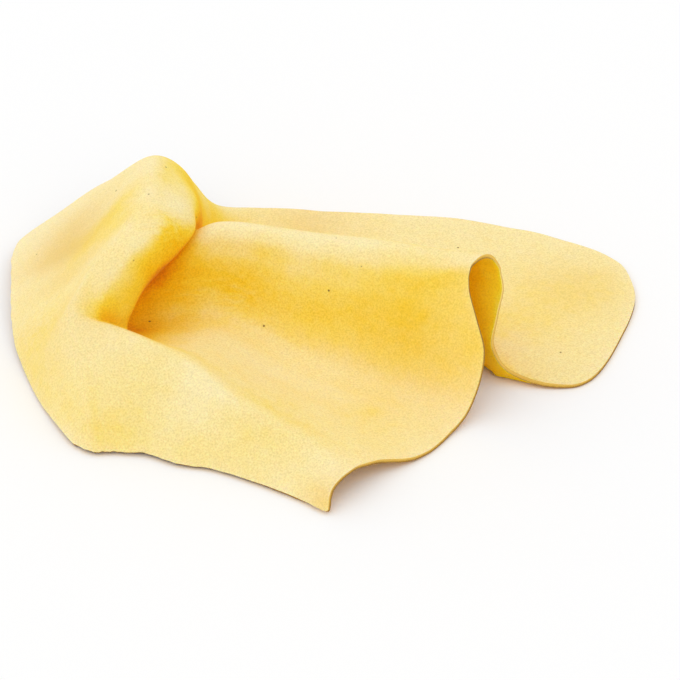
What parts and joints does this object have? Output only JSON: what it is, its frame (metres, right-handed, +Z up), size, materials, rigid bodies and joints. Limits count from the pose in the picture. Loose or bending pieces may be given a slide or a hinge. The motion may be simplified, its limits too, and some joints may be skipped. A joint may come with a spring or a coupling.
{
  "type": "chamois leather",
  "caption": "Soft yellow chamois leather lying loosely folded, with a standing ridge, a rolled-over fold and a shallow hollow; wipes and dries wet surfaces.",
  "frame": {"origin": "Middle of the skin's box, on the table it lies on", "axes": "+X to the right in the picture, along the longest side; +Y away from the viewer; +Z up, the shortest side"},
  "size_m": [0.322, 0.2606, 0.0739],
  "materials": {
    "chamois": "soft napped suede, pale yellow, dull"
  },
  "bodies": {
    "root": {"chamois_skin": "chamois"}
  },
  "joints": []
}
